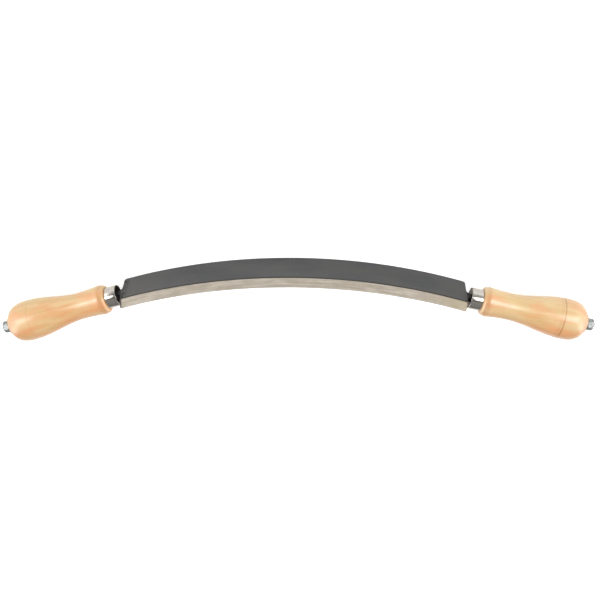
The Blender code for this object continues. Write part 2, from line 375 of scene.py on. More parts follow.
class Finish(Nodes):
    """One material, with short calls for the textures and mixes that the finishes are made of."""

    def __init__(self, name):
        self.material = bpy.data.materials.new(name)
        self.material.use_nodes = True
        super().__init__(self.material.node_tree)
        self.shader = self.tree.nodes["Principled BSDF"]

    def local_point(self):
        """Place on the piece in its own axes: a turned piece's axis is Z."""
        return self.attribute("local", "Vector")

    def attribute(self, name, output="Fac"):
        return self.node("ShaderNodeAttribute", attribute_name=name).outputs[output]

    def parts(self, vector):
        """The vector's X, Y and Z."""
        made = self.node("ShaderNodeSeparateXYZ")
        self.feed(vector, made.inputs[0])
        return made.outputs

    def scaled(self, vector, scale, offset=(0.0, 0.0, 0.0)):
        """The vector scaled and then moved, to stretch a texture one way and start it elsewhere."""
        made = self.node("ShaderNodeMapping")
        self.feed(vector, made.inputs["Vector"])
        made.inputs["Scale"].default_value = scale
        made.inputs["Location"].default_value = offset
        return made.outputs[0]

    def noise(self, vector, scale=1.0, detail=3.0, roughness=0.5, distortion=0.0):
        made = self.node("ShaderNodeTexNoise")
        self.feed(vector, made.inputs["Vector"])
        made.inputs["Scale"].default_value = scale
        made.inputs["Detail"].default_value = detail
        made.inputs["Roughness"].default_value = roughness
        made.inputs["Distortion"].default_value = distortion
        return made.outputs["Fac"]

    def cells(self, vector, scale):
        made = self.node("ShaderNodeTexVoronoi", feature="F1")
        self.feed(vector, made.inputs["Vector"])
        made.inputs["Scale"].default_value = scale
        return made.outputs["Distance"]

    def mix(self, share, first, second, blend="MIX"):
        made = self.node("ShaderNodeMix", data_type="RGBA", blend_type=blend)
        self.feed(share, made.inputs["Factor"])
        for colour, socket in ((first, made.inputs[6]), (second, made.inputs[7])):
            self.feed(colour if isinstance(colour, bpy.types.NodeSocket) else (*colour, 1.0), socket)
        return made.outputs[2]

    def bump(self, height, distance, strength, below=None):
        """A bump on top of the one below it, if there is one."""
        made = self.node("ShaderNodeBump")
        self.feed(height, made.inputs["Height"])
        made.inputs["Distance"].default_value = distance
        made.inputs["Strength"].default_value = strength
        if below is not None:
            self.feed(below, made.inputs["Normal"])
        return made.outputs[0]

    def surface(self, colour, roughness, normal=None, **constants):
        """Feeds the shader. Each constant names one of its sockets, with _ for a space."""
        self.feed(colour, self.shader.inputs["Base Color"])
        self.feed(roughness, self.shader.inputs["Roughness"])
        if normal is not None:
            self.feed(normal, self.shader.inputs["Normal"])
        for key, value in constants.items():
            self.shader.inputs[key.replace("_", " ")].default_value = value
        return self.material


def lacquered_steel():
    """Rolled bar under a dark satin lacquer, darkened by painted shade beside the bevel's crease, worn
    to metal on its corners.

    It is mottled black where the +X end was forged, and honed bare along the inner side of the edge.
    """
    f = Finish("lacquered_steel")
    run = f.attribute("bar", "Vector")
    along, height, outer = f.parts(run)
    clouds = f.noise(f.scaled(run, (22, 48, 1)), detail=4, roughness=0.6)
    drifts = f.noise(f.scaled(run, (9, 26, 1), (3.1, 0, 0)), detail=2)
    streaks = f.noise(f.scaled(run, (45, 900, 1)), detail=3, roughness=0.6)
    grains = f.noise(f.local_point(), scale=2600, detail=2)
    tone = f.mix(f.spread(clouds, 0.34, 0.66), (0.036, 0.038, 0.040), (0.066, 0.065, 0.062))
    tone = f.mix(f.spread(drifts, 0.42, 0.64, 0.0, 0.6), tone, (0.076, 0.076, 0.075))
    tone = f.mix(f.spread(streaks, 0.45, 0.75, 0.0, 0.5), tone, (0.084, 0.082, 0.078))
    tone = f.mix(f.spread(grains, 0.35, 0.7, 0.0, 0.35), tone, (0.030, 0.031, 0.032))
    tone = f.mix(f.spread(along, PALER_FROM, BLADE_HALF_ARC, 0.0, 0.5), tone, (0.090, 0.088, 0.083))
    forged = f.spread(along, *(BLADE_HALF_ARC - reach for reach in FORGED_REACH))
    hammered = f.noise(f.scaled(run, (330, 240, 1)), detail=3, roughness=0.6)
    forged = f.math("MULTIPLY", forged, f.spread(hammered, 0.36, 0.56, 0.15, 1.0))
    tone = f.mix(forged, tone, (0.008, 0.009, 0.011))
    # Painted shade: a dark brown band on the outer face just above the bevel's crease.
    crease_shade = f.spread(height, *(BEVEL_FOOT - reach for reach in CREASE_SHADE_REACH))
    crease_shade = f.math("MULTIPLY", crease_shade, f.spread(clouds, 0.2, 0.55, 0.6, 1.0))
    crease_shade = f.math("MULTIPLY", crease_shade, f.spread(outer, -0.05, 0.05))
    tone = f.mix(crease_shade, tone, (0.015, 0.011, 0.006))
    chips = f.noise(f.local_point(), scale=700, detail=4, roughness=0.65)
    wear = f.attribute("wear")
    worn = f.math("ADD", f.math("MULTIPLY", wear, 0.62), f.math("MULTIPLY", chips, 0.6))
    bare = f.spread(worn, 0.76, 0.90)
    tone = f.mix(bare, tone, (0.30, 0.285, 0.26))
    honed = f.attribute("honed")
    ragged = f.noise(f.scaled(run, (160, 30, 1)), detail=4, roughness=0.6)
    honed = f.spread(f.math("ADD", honed, f.math("MULTIPLY", ragged, 0.5)), 0.70, 0.82)
    tone = f.mix(honed, tone, (0.46, 0.43, 0.38))
    shine = f.math("MAXIMUM", bare, honed)
    rough = f.spread(clouds, 0.3, 0.7, 0.34, 0.52)
    rough = f.math("SUBTRACT", rough, f.math("MULTIPLY", shine, 0.08))
    normal = f.bump(f.noise(f.local_point(), scale=420, detail=4, roughness=0.6), 0.00005, 0.5)
    normal = f.bump(streaks, 0.00003, 0.5, normal)
    normal = f.bump(grains, 0.00001, 0.6, normal)
    normal = f.bump(f.math("MULTIPLY", forged, hammered), 0.0005, 0.7, normal)
    f.feed(shine, f.shader.inputs["Metallic"])
    return f.surface(tone, rough, normal, Specular_IOR_Level=0.5, Coat_Weight=0.0)


def ground_steel():
    """The bevel as the belt leaves it: bare, warm grey, with long fine scratches.

    It is straw coloured towards its -X end, and painted dark on the last of its +X end, as shade beside
    the tang.
    """
    f = Finish("ground_steel")
    run = f.attribute("bar", "Vector")
    along, _, _ = f.parts(run)
    lines = f.noise(f.scaled(run, (60, 5200, 1)), detail=5, roughness=0.7, distortion=0.15)
    broad = f.noise(f.scaled(run, (24, 620, 1)), detail=4, roughness=0.65)
    cross = f.noise(f.scaled(run, (2600, 120, 1)), detail=3, roughness=0.6)
    patches = f.noise(f.scaled(run, (75, 150, 1)), detail=4, roughness=0.6)
    tone = f.mix(f.spread(patches, 0.32, 0.68), (0.492, 0.426, 0.343), (0.615, 0.553, 0.468))
    tone = f.mix(f.spread(lines, 0.35, 0.75, 0.0, 0.55), tone, (0.36, 0.320, 0.265))
    tone = f.mix(f.spread(broad, 0.50, 0.70, 0.0, 0.60), tone, (0.78, 0.730, 0.645))
    tone = f.mix(f.spread(broad, 0.32, 0.47, 0.65, 0.0), tone, (0.40, 0.345, 0.265))
    spots = f.noise(f.local_point(), scale=900, detail=2)
    tone = f.mix(f.spread(spots, 0.66, 0.76, 0.0, 0.35), tone, (0.25, 0.21, 0.17))
    tone = f.mix(f.spread(along, -BLADE_HALF_ARC, STRAW_UNTIL, 0.5, 0.0), tone, (0.50, 0.42, 0.27))
    # Painted shade on the bevel's last stretch at the +X end, beside the tang.
    end = f.spread(along, *(BLADE_HALF_ARC - reach for reach in END_SHADE_REACH), 0.0, 0.9)
    tone = f.mix(end, tone, (0.07, 0.065, 0.06))
    uneven = f.math("ADD", f.math("MULTIPLY", lines, 0.7), f.math("MULTIPLY", patches, 0.3))
    rough = f.spread(uneven, 0.3, 0.7, 0.30, 0.46)
    normal = f.bump(lines, 0.00002, 0.7)
    normal = f.bump(cross, 0.00001, 0.35, normal)
    normal = f.bump(patches, 0.00006, 0.4, normal)
    return f.surface(tone, rough, normal, Metallic=1.0)


def forged_scale():
    """The tang as forged: near black scale, pitted, with hammered flats."""
    f = Finish("forged_scale")
    point = f.local_point()
    hammered = f.cells(point, 420)
    pits = f.noise(point, scale=1500, detail=4, roughness=0.65)
    clouds = f.noise(point, scale=260, detail=4)
    tone = f.mix(f.spread(clouds, 0.3, 0.7), (0.012, 0.012, 0.013), (0.038, 0.036, 0.034))
    tone = f.mix(f.spread(pits, 0.58, 0.75, 0.0, 0.6), tone, (0.075, 0.062, 0.052))
    rough = f.spread(pits, 0.3, 0.7, 0.42, 0.68)
    normal = f.bump(hammered, 0.0002, 0.5)
    normal = f.bump(pits, 0.00008, 0.8, normal)
    return f.surface(tone, rough, normal, Metallic=0.25)


def cut_thread():
    """Thread cut in the tang's end: dull steel, darker in its roots."""
    f = Finish("cut_thread")
    point = f.local_point()
    clouds = f.noise(point, scale=900, detail=4, roughness=0.6)
    root = f.attribute("root")
    tone = f.mix(f.spread(clouds, 0.3, 0.7), (0.26, 0.26, 0.25), (0.42, 0.42, 0.40))
    # The thread's roots are darker, in step with the groove's depth.
    tone = f.mix(f.spread(root, 0.35, 0.9, 0.0, 0.85), tone, (0.05, 0.047, 0.043))
    normal = f.bump(f.noise(point, scale=3000, detail=2), 0.00002, 0.6)
    return f.surface(tone, f.spread(clouds, 0.2, 0.8, 0.3, 0.48), normal, Metallic=0.9)


def ferrule_steel(name, seed, painted_spine_side):
    """Bright turned tube: fine rings round it, a few long scratches, and painted shade deep inside.

    Inside the mouth, the side towards the blade's edge is painted light, and the side towards its spine
    takes the given painted tone.
    """
    f = Finish(name)
    point = f.local_point()
    rings = f.noise(f.scaled(point, (60, 60, 9000), (seed, 0, 0)), detail=4, roughness=0.7)
    bands = f.noise(f.scaled(point, (25, 25, 1150), (0, seed, 0)), detail=2, roughness=0.6)
    stains = f.noise(f.scaled(point, (260, 260, 200), (0, 0, seed)), detail=4, roughness=0.6)
    scratches = f.noise(f.scaled(point, (2400, 2400, 130), (seed, seed, 0)), detail=2, distortion=0.4)
    tone = f.mix(f.spread(rings, 0.3, 0.75), (0.72, 0.69, 0.63), (0.56, 0.53, 0.475))
    tone = f.mix(f.spread(bands, 0.48, 0.68, 0.0, 0.5), tone, (0.42, 0.395, 0.345))
    tone = f.mix(f.spread(stains, 0.58, 0.80, 0.0, 0.35), tone, (0.40, 0.365, 0.31))
    tone = f.mix(f.spread(scratches, 0.70, 0.78, 0.0, 0.4), tone, (0.30, 0.28, 0.25))
    inner = f.attribute("inside")
    # Painted light and shade in the mouth: light on the edge side, the given tone on the spine side.
    mouth = f.mix(f.spread(f.parts(point)["Y"], *MOUTH_LIGHT_SPLIT), painted_spine_side, (0.86, 0.82, 0.75))
    tone = f.mix(inner, tone, mouth)
    # Painted shade: the bore darkens to near black deeper in.
    deep_shade = f.spread(f.parts(point)["Z"], *(reach - FERRULE_LENGTH for reach in DEEP_SHADE_REACH))
    inside = f.math("MULTIPLY", inner, deep_shade)
    tone = f.mix(inside, tone, (0.020, 0.019, 0.017))
    rough = f.spread(rings, 0.25, 0.75, 0.08, 0.14)
    rough = f.math("ADD", rough, f.math("MULTIPLY", inner, 0.3))
    normal = f.bump(rings, 0.000012, 0.7)
    normal = f.bump(bands, 0.00006, 0.7, normal)
    normal = f.bump(scratches, 0.00001, 0.5, normal)
    metallic = f.spread(inner, 0.0, 1.0, 1.0, 0.15)
    f.feed(metallic, f.shader.inputs["Metallic"])
    return f.surface(tone, rough, normal)


def zinc_plate(name, seed):
    """Bright zinc on the nut and washer: cool grey, spangled, darkened in its recesses and at the nut's
    base by grime mixed with painted shade.
    """
    f = Finish(name)
    point = f.local_point()
    spangle = f.cells(f.scaled(point, (1, 1, 1), (seed, 0, seed)), 1100)
    clouds = f.noise(point, scale=650, detail=4, roughness=0.6)
    turned = f.noise(f.scaled(point, (300, 300, 7000), (0, seed, 0)), detail=3, roughness=0.6)
    tone = f.mix(f.spread(clouds, 0.3, 0.7), (0.38, 0.40, 0.395), (0.76, 0.785, 0.77))
    tone = f.mix(f.spread(spangle, 0.2, 0.6, 0.0, 0.70), tone, (0.13, 0.14, 0.14))
    # The marked grime and painted shade, varied by noise, darken the recesses and the nut's base.
    grime_and_shade = f.attribute("grime_and_shade")
    soiled_and_shaded = f.math("ADD", grime_and_shade, f.math("MULTIPLY", f.math("SUBTRACT", clouds, 0.5), 0.7))
    tone = f.mix(f.spread(soiled_and_shaded, 0.25, 0.95, 0.0, 0.92), tone, (0.045, 0.040, 0.034))
    rough = f.spread(clouds, 0.2, 0.8, 0.36, 0.60)
    normal = f.bump(turned, 0.00002, 0.5)
    normal = f.bump(spangle, 0.00006, 0.5, normal)
    return f.surface(tone, rough, normal, Metallic=1.0)


def turned_beech(name, seed, pith, rings, gloss):
    """Beech turned and lacquered: straight growth bands, short dark flecks, warmer and paler areas.

    The growth bands circle the pith, and the lathe tool burnt the rings. The side of each handle away
    from its pith, the lower side in the view, is painted warmer and darker orange as shade. Gloss is the
    weight of the clear coat.
    """
    f = Finish(name)
    point = f.local_point()
    drift = f.noise(f.scaled(point, (30, 30, 9), (seed, 0, 0)), detail=2)
    drifted = f.node("ShaderNodeVectorMath", operation="MULTIPLY_ADD")
    f.feed(drift, drifted.inputs[0])
    drifted.inputs[1].default_value = (YEARS_DRIFT, YEARS_DRIFT, 0.0)
    f.feed(f.scaled(point, (1, 1, 0.02), pith), drifted.inputs[2])
    length = f.node("ShaderNodeVectorMath", operation="LENGTH")
    f.feed(drifted.outputs[0], length.inputs[0])
    from_pith = length.outputs["Value"]
    years = f.node("ShaderNodeTexNoise", noise_dimensions="1D")
    f.feed(f.math("MULTIPLY", from_pith, YEARS_PER_METRE), years.inputs["W"])
    years.inputs["Scale"].default_value = 1.0
    years.inputs["Detail"].default_value = 3.0
    years.inputs["Roughness"].default_value = 0.62
    bands = years.outputs["Fac"]
    fibres = f.noise(f.scaled(point, (1500, 1500, 45), (0, seed, 0)), detail=4, roughness=0.6)
    flecks = f.noise(f.scaled(point, (2300, 2300, 330), (seed, seed, 0)), detail=1.5, roughness=0.5)
    areas = f.noise(f.scaled(point, (52, 52, 26), (0, 0, seed)), detail=3, roughness=0.5)
    # Painted shade: warmer and darker orange further from the pith, on each handle's lower side in the
    # view, mixed with random warm areas.
    warmth_and_low_shade = f.math("ADD", f.math("MULTIPLY", from_pith, 14.0), f.math("MULTIPLY", areas, 1.3))
    tone = f.mix(f.spread(warmth_and_low_shade, 1.38, 1.92), (0.640, 0.462, 0.205), (0.760, 0.362, 0.158))
    blush = f.noise(f.scaled(point, (75, 75, 30), (seed, seed, seed)), detail=3, roughness=0.55)
    tone = f.mix(f.spread(blush, 0.47, 0.66, 0.0, 0.68), tone, (0.740, 0.322, 0.142))
    straw = f.noise(f.scaled(point, (95, 95, 24), (0, seed, seed)), detail=3, roughness=0.55)
    tone = f.mix(f.spread(straw, 0.50, 0.68, 0.0, 0.50), tone, (0.632, 0.462, 0.188))
    tone = f.mix(f.spread(bands, 0.30, 0.75, 0.0, 0.50), tone, (0.595, 0.325, 0.135))
    tone = f.mix(f.spread(fibres, 0.48, 0.78, 0.0, 0.30), tone, (0.54, 0.270, 0.102))
    tone = f.mix(f.spread(flecks, 0.66, 0.76, 0.0, 0.40), tone, (0.40, 0.180, 0.068))
    pale = f.noise(f.scaled(point, (120, 120, 16), (seed, 0, seed)), detail=2)
    tone = f.mix(f.spread(pale, 0.44, 0.66, 0.0, 0.6), tone, (0.700, 0.525, 0.275))
    end = f.attribute("end_grain")
    pores = f.noise(point, scale=3400, detail=2)
    open_end = f.math("MULTIPLY", end, f.spread(pores, 0.45, 0.70, 0.25, 0.75))
    tone = f.mix(open_end, tone, (0.50, 0.265, 0.118))
    # Painted shade on the neck, round the lip and in the spot, together with the burnt rings, darkens
    # the wood to deep brown.
    shade = f.math("MULTIPLY", f.attribute("shade"), 0.75)
    height = f.parts(point)["Z"]
    uneven = f.spread(areas, 0.35, 0.62, 0.45, 1.0)
    for at, half_width, strength in rings:
        apart = f.math("ABSOLUTE", f.math("SUBTRACT", height, at))
        ring = f.spread(apart, 0.0, half_width, strength, 0.0)
        shade = f.math("MAXIMUM", shade, f.math("MULTIPLY", ring, uneven))
    tone = f.mix(shade, tone, (0.36, 0.125, 0.040))
    rough = f.spread(fibres, 0.3, 0.8, 0.34, 0.48)
    normal = f.bump(fibres, 0.00003, 0.45)
    normal = f.bump(bands, 0.00004, 0.3, normal)
    return f.surface(
        tone, rough, normal, Coat_Weight=gloss, Coat_Roughness=0.31, Coat_IOR=1.7, Specular_IOR_Level=0.4
    )


# ---------------------------------------------------------------- blade with its tangs


def arc_frame(angle):
    """A point of the blade's middle surface at floor level, and the way out of its convex face."""
    outward = Vector((math.sin(angle), -math.cos(angle), 0))
    return Vector((0, BLADE_RADIUS, 0)) + outward * BLADE_RADIUS, outward


def handle_direction(side):
    return Vector((SIDE_SIGN[side] * math.cos(BEND[side]), math.sin(BEND[side]), 0))


def tang_root(side):
    return arc_frame(SIDE_SIGN[side] * END_ANGLE)[0] + Vector((0, 0, TANG_HEIGHT))


def blade_section(spine_trim, edge_trim, wander):
    """(outward, height) points: bevel, its crease, outer face, spine, inner face and edge corner."""
    half = BLADE_THICKNESS / 2
    top = BLADE_WIDTH - edge_trim
    edge = -half + EDGE_LAND + edge_trim * math.tan(BEVEL_ANGLE)
    foot = BLADE_WIDTH - BEVEL_RISE + wander
    slope = Vector((half - edge, foot - top)).normalized() * CREASE_SOFTNESS
    above = (half - slope.x, foot - slope.y)
    below = (half, foot - CREASE_SOFTNESS)
    low = spine_trim + SPINE_ROUND
    spine_outer = arc((half - SPINE_ROUND, low), SPINE_ROUND, 0, -QUARTER, CORNER_STEPS)
    spine_inner = arc((-half + SPINE_ROUND, low), SPINE_ROUND, -QUARTER, -math.pi, CORNER_STEPS)
    points = straight((edge, top), above, BEVEL_POINTS)
    points += straight(below, spine_outer[0], FACE_POINTS)[:-1] + spine_outer
    points += straight(spine_outer[-1], spine_inner[0], SPINE_POINTS)[1:-1] + spine_inner
    points += straight(spine_inner[-1], (-half, top), INNER_POINTS)[1:]
    return points


def bar_section(depth, width):
    """The same count of points round a bar with rounded corners, in step with the blade's."""
    x, z, r = depth / 2, width / 2, TANG_CORNER
    count = BEVEL_POINTS + FACE_POINTS - 1
    top_outer = arc((x - r, z - r), r, QUARTER, 0, CORNER_STEPS)
    outer = straight((x, z - r), (x, -z + r), count - CORNER_STEPS + 1)
    points = top_outer[:-1] + outer[:-1]
    points += arc((x - r, -z + r), r, 0, -QUARTER, CORNER_STEPS)
    points += straight((x - r, -z), (-x + r, -z), SPINE_POINTS)[1:-1]
    points += arc((-x + r, -z + r), r, -QUARTER, -math.pi, CORNER_STEPS)
    inner = straight((-x, -z + r), (-x, z - r), INNER_POINTS - CORNER_STEPS)
    points += inner[1:]
    points += arc((-x + r, z - r), r, math.pi, QUARTER, CORNER_STEPS)[1:]
    return points


SECTION_COUNT = len(blade_section(0.0, 0.0, 0.0))


def round_point(index, radius):
    """Point of a circle in step with the bar's section: it starts at the top and turns outward."""
    angle = QUARTER - math.tau * (index + 0.5) / SECTION_COUNT
    return radius * math.cos(angle), radius * math.sin(angle)


def thread_depth_at(index, distance):
    """How deep the thread's groove is there: a rounded V that climbs one pitch each turn."""
    turn = distance / THREAD_PITCH + index / SECTION_COUNT
    return THREAD_DEPTH * 0.5 * (1 - math.cos(math.tau * turn))


def corner_trim(radius, distance):
    """How deep a rounded corner of this radius cuts in, this far from the blade's end."""
    short = max(0.0, radius - distance)
    return radius - math.sqrt(radius ** 2 - short ** 2)


def blade_angles():
    """Stations along the arc, closer together where the corners of the two ends are rounded."""
    reach = END_ANGLE - SPINE_CORNER / BLADE_RADIUS
    angles = [-reach + 2 * reach * i / BLADE_STATIONS for i in range(BLADE_STATIONS + 1)]
    for step in range(1, END_STEPS + 1):
        turn = QUARTER * step / END_STEPS
        angle = END_ANGLE - SPINE_CORNER * (1 - math.sin(turn)) / BLADE_RADIUS
        angles = [-angle] + angles + [angle]
    return angles


def grind_wander(angle):
    """The bevel's foot wanders a little, as ground by hand against a belt."""
    along = angle * BLADE_RADIUS
    return GRIND_WANDER * noise.noise(Vector((along * WANDER_RATE, *WANDER_START)))


def blade_part():
    """Rings of the bar, with each point's place on it, its wear and how near the honed edge it is."""
    rings, runs, wears, honed = [], [], [], []
    inner_limit = -BLADE_THICKNESS / 2 + HONED_DEPTH
    for angle in blade_angles():
        base, outward = arc_frame(angle)
        from_end = (END_ANGLE - abs(angle)) * BLADE_RADIUS
        trims = corner_trim(SPINE_CORNER, from_end), corner_trim(EDGE_CORNER, from_end)
        section = blade_section(*trims, grind_wander(angle) * min(1.0, from_end / SPINE_CORNER))
        rings.append([base + outward * x + Vector((0, 0, z)) for x, z in section])
        for x, z in section:
            side = 1 if x > 0 else -1
            runs.append((angle * BLADE_RADIUS, z, side * FACE_MARK))
            spine_near = max(0.0, 1 - (z + BLADE_THICKNESS / 2 - abs(x)) / WEAR_REACH)
            end_near = max(0.0, 1 - from_end / WEAR_REACH)
            wears.append(min(1.0, max(spine_near, end_near)))
            inner = 1.0 if x < inner_limit else 0.0
            honed.append(inner * max(0.0, 1 - (BLADE_WIDTH - z) / HONED_STRIP))
    return rings, runs, wears, honed


def tang_bar():
    """(distance from the blade's end, section) along the tang's bar, and where its thread starts."""
    stations = []
    for i in range(FLARE_STEPS + 1):
        share = i / FLARE_STEPS
        ease = (1 - share) ** 2
        depth = TANG_DEPTH + (FLARE_DEPTH - TANG_DEPTH) * ease
        width = TANG_WIDTH + (FLARE_WIDTH - TANG_WIDTH) * ease
        stations.append((FLARE_ROOT + (TANG_EXPOSED - FLARE_ROOT) * share, bar_section(depth, width)))
    start = TANG_LENGTH - THREAD_LENGTH
    stations.append((start - THREAD_RADIUS, bar_section(TANG_DEPTH, TANG_DEPTH)))
    return stations, start


def thread_rings(start):
    """(distance, section, groove depth of each point) along the threaded end."""
    rings = []
    step = THREAD_PITCH / THREAD_RINGS_PER_TURN
    count = round(THREAD_LENGTH / step)
    for i in range(count + 1):
        distance = start + THREAD_LENGTH * i / count
        run_in = min(1.0, i * step / THREAD_PITCH)
        from_end = TANG_LENGTH - distance
        chamfer = max(0.0, THREAD_END_CHAMFER - from_end)
        section, depths = [], []
        for k in range(SECTION_COUNT):
            groove = thread_depth_at(k, distance) * run_in
            section.append(round_point(k, THREAD_RADIUS - max(groove, chamfer)))
            depths.append(groove / THREAD_DEPTH)
        rings.append((distance, section, depths))
    return rings


def tang_part(side):
    """Rings of one tang, the thread's depth at each of their points, and how many rings are bar."""
    sign = SIDE_SIGN[side]
    blade_outward = arc_frame(sign * END_ANGLE)[1]
    direction = handle_direction(side)
    handle_outward = Vector((0, 0, -sign)).cross(direction)
    root = tang_root(side)
    stations, start = tang_bar()
    rings, roots = [], []
    bare = [0.0] * SECTION_COUNT
    sections = [(distance, section, bare) for distance, section in stations] + thread_rings(start)
    for distance, section, depths in sections:
        outward = blade_outward.lerp(handle_outward, min(1.0, distance / TANG_EXPOSED)).normalized()
        centre = root + direction * distance
        rings.append([centre + outward * x + Vector((0, 0, z)) for x, z in section])
        roots += depths
    return rings, roots, len(stations)


def build_blade():
    """Tang, blade and tang as one skin, with the marks that its finishes read."""
    left, left_roots, bars = tang_part("left")
    right, right_roots, _ = tang_part("right")
    middle, runs, wears, honed = blade_part()
    count = SECTION_COUNT
    rings = list(reversed(left)) + middle + right
    mesh = ring_mesh("blade", rings, closed_tube=False)
    before, after = len(left) * count, len(right) * count
    flipped = [left_roots[i * count:(i + 1) * count] for i in reversed(range(len(left)))]
    root_values = [value for ring in flipped for value in ring] + [0.0] * len(runs) + right_roots
    add_attribute(mesh, "root", root_values)
    add_attribute(mesh, "wear", [0.0] * before + wears + [0.0] * after)
    add_attribute(mesh, "honed", [0.0] * before + honed + [0.0] * after)
    nowhere = (0.0, 0.0, 0.0)
    add_vectors(mesh, "bar", [nowhere] * before + runs + [nowhere] * after)

    first, last = len(left), len(left) + len(middle) - 1
    slots = []
    for polygon in mesh.polygons:
        ring, point = divmod(polygon.index, count)
        if ring >= len(rings) - 1:
            slots.append(THREAD)
        elif first <= ring < last:
            slots.append(GROUND if point < BEVEL_POINTS - 1 or point == count - 1 else LACQUER)
        elif ring in (first - 1, last):
            slots.append(LACQUER)
        else:
            inward = first - 1 - ring if ring < first else ring - last
            slots.append(FORGED if inward <= bars else THREAD)
    mesh.polygons.foreach_set("material_index", slots)
    return mesh


# ---------------------------------------------------------------- handle and its fixings


def ease_between(start, end, share):
    return start + (end - start) * (3 * share ** 2 - 2 * share ** 3)


def handle_profile(groove_depth):
    """(radius, height, shade, end grain) round the turning's outline, from the neck's front."""
    front = -(FERRULE_LENGTH - NECK_SETBACK)
    outline = [(BORE_RADIUS, front, 1, 1), (NECK_RADIUS - NECK_CHAMFER, front, 1, 1)]
    outline += [(NECK_RADIUS, front + NECK_CHAMFER, 1, 0), (NECK_RADIUS, 0.0, NECK_SHADE, 0)]
    lip = arc((LIP_RADIUS, LIP_ROUND), LIP_ROUND, -QUARTER, LIP_ROUND_END, LIP_STEPS)
    for i, (radius, height) in enumerate(lip):
        shade = max(0.0, LIP_SHADE - LIP_SHADE_FALL * i)
        outline.append((radius, height, shade, max(0.0, 1 - i / LIP_END_GRAIN_STEPS)))
    lip_side = lip[-1][0]
    for i in range(1, COLLAR_STEPS + 1):
        share = i / COLLAR_STEPS
        height = LIP_ROUND + (COLLAR_AT - LIP_ROUND) * share
        outline.append((ease_between(lip_side, COLLAR_RADIUS, share), height, 0, 0))
    for i in range(1, WAIST_STEPS + 1):
        share = i / WAIST_STEPS
        fall = (1 - share) ** 2
        radius = WAIST_RADIUS + (COLLAR_RADIUS - WAIST_RADIUS) * fall
        outline.append((radius, COLLAR_AT + (WAIST_AT - COLLAR_AT) * share, 0, 0))
    flank = GROOVE_AT - GROOVE_HALF_WIDTH - WAIST_AT
    for i in range(1, FLANK_STEPS + 1):
        height = WAIST_AT + flank * i / FLANK_STEPS
        outline.append((bulb_flank(height), height, 0, 0))
    for i in range(1, GROOVE_STEPS):
        share = i / GROOVE_STEPS
        height = GROOVE_AT + (2 * share - 1) * GROOVE_HALF_WIDTH
        dip = groove_depth * math.sin(math.pi * share)
        outline.append((bulb_flank(height) - dip, height, 0, 0))
    shoulder = BULB_AT - GROOVE_AT - GROOVE_HALF_WIDTH
    for i in range(SHOULDER_STEPS):
        height = GROOVE_AT + GROOVE_HALF_WIDTH + shoulder * i / SHOULDER_STEPS
        outline.append((bulb_flank(height), height, 0, 0))
    depth = HANDLE_LENGTH - BULB_AT
    for i in range(CAP_STEPS):
        angle = QUARTER * i / CAP_STEPS
        radius = BULB_RADIUS * math.cos(angle) ** (2 / BULB_FULLNESS)
        height = BULB_AT + depth * math.sin(angle) ** (2 / BULB_FULLNESS)
        if radius > SPOT_RIM:
            outline.append((radius, height, 0, (1 - radius / BULB_RADIUS) ** CAP_END_GRAIN_POWER))
    on_arris, on_wall, on_floor = SPOT_SHADES
    outline.append((SPOT_RIM, HANDLE_LENGTH - SPOT_RIM_DROP, 0, 1))
    outline.append((SPOT_RADIUS + SPOT_ARRIS, HANDLE_LENGTH, on_arris, 1))
    outline.append((SPOT_RADIUS, HANDLE_LENGTH - SPOT_ARRIS / 2, on_wall, 1))
    floor = HANDLE_LENGTH - SPOT_DEPTH
    outline += [(SPOT_RADIUS, floor, on_floor, 1), (BORE_RADIUS, floor, 1, 1)]
    return outline


def bulb_flank(height):
    """Radius of the handle between its waist and its widest place."""
    return ease_between(WAIST_RADIUS, BULB_RADIUS, min(1.0, (height - WAIST_AT) / (BULB_AT - WAIST_AT)))


def build_wood(name, groove_depth):
    """Turned handle, with its painted shade and its end grain marked for its finish."""
    profile = handle_profile(groove_depth)
    mesh = lathe(name, [(radius, height) for radius, height, _, _ in profile])
    add_attribute(mesh, "shade", per_ring([row[2] for row in profile], LATHE_SEGMENTS))
    add_attribute(mesh, "end_grain", per_ring([row[3] for row in profile], LATHE_SEGMENTS))
    return mesh


def rounded_ring(inner, outer, bottom, top):
    """Outline of a plain ring whose four corners are rounded, from its bottom inner corner."""
    r = RIM_ROUND
    points = arc((inner + r, bottom + r), r, math.pi, 3 * QUARTER, RIM_STEPS)
    points += arc((outer - r, bottom + r), r, -QUARTER, 0, RIM_STEPS)
    points += arc((outer - r, top - r), r, 0, QUARTER, RIM_STEPS)
    points += arc((inner + r, top - r), r, QUARTER, math.pi, RIM_STEPS)
    return points


def build_ferrule(name):
    """Ferrule tube, with its bore marked for its finish."""
    inner = FERRULE_RADIUS - FERRULE_WALL
    outline = rounded_ring(inner, FERRULE_RADIUS, -FERRULE_LENGTH, -GAP)
    mesh = lathe(name, outline)
    inside = [1.0 if radius < inner + RIM_ROUND / 2 else 0.0 for radius, _ in outline]
    add_attribute(mesh, "inside", per_ring(inside, LATHE_SEGMENTS))
    return mesh


def build_washer(name):
    """Washer, painted darker on the side that lies on the wood, as shade with some grime."""
    seat = HANDLE_LENGTH - SPOT_DEPTH + GAP
    outline = rounded_ring(HOLE_RADIUS, WASHER_RADIUS, seat, seat + WASHER_THICKNESS)
    mesh = lathe(name, outline)
    below, above = WASHER_GRIME_AND_SHADE
    grime_and_shade = [below if height < seat + WASHER_THICKNESS / 2 else above for _, height in outline]
    add_attribute(mesh, "grime_and_shade", per_ring(grime_and_shade, LATHE_SEGMENTS))
    return mesh


def smooth_least(a, b):
    """The smaller of two values, blended where they are close."""
    h = max(EDGE_SOFTNESS - abs(a - b), 0.0) / EDGE_SOFTNESS
    return min(a, b) - h * h * EDGE_SOFTNESS / 4


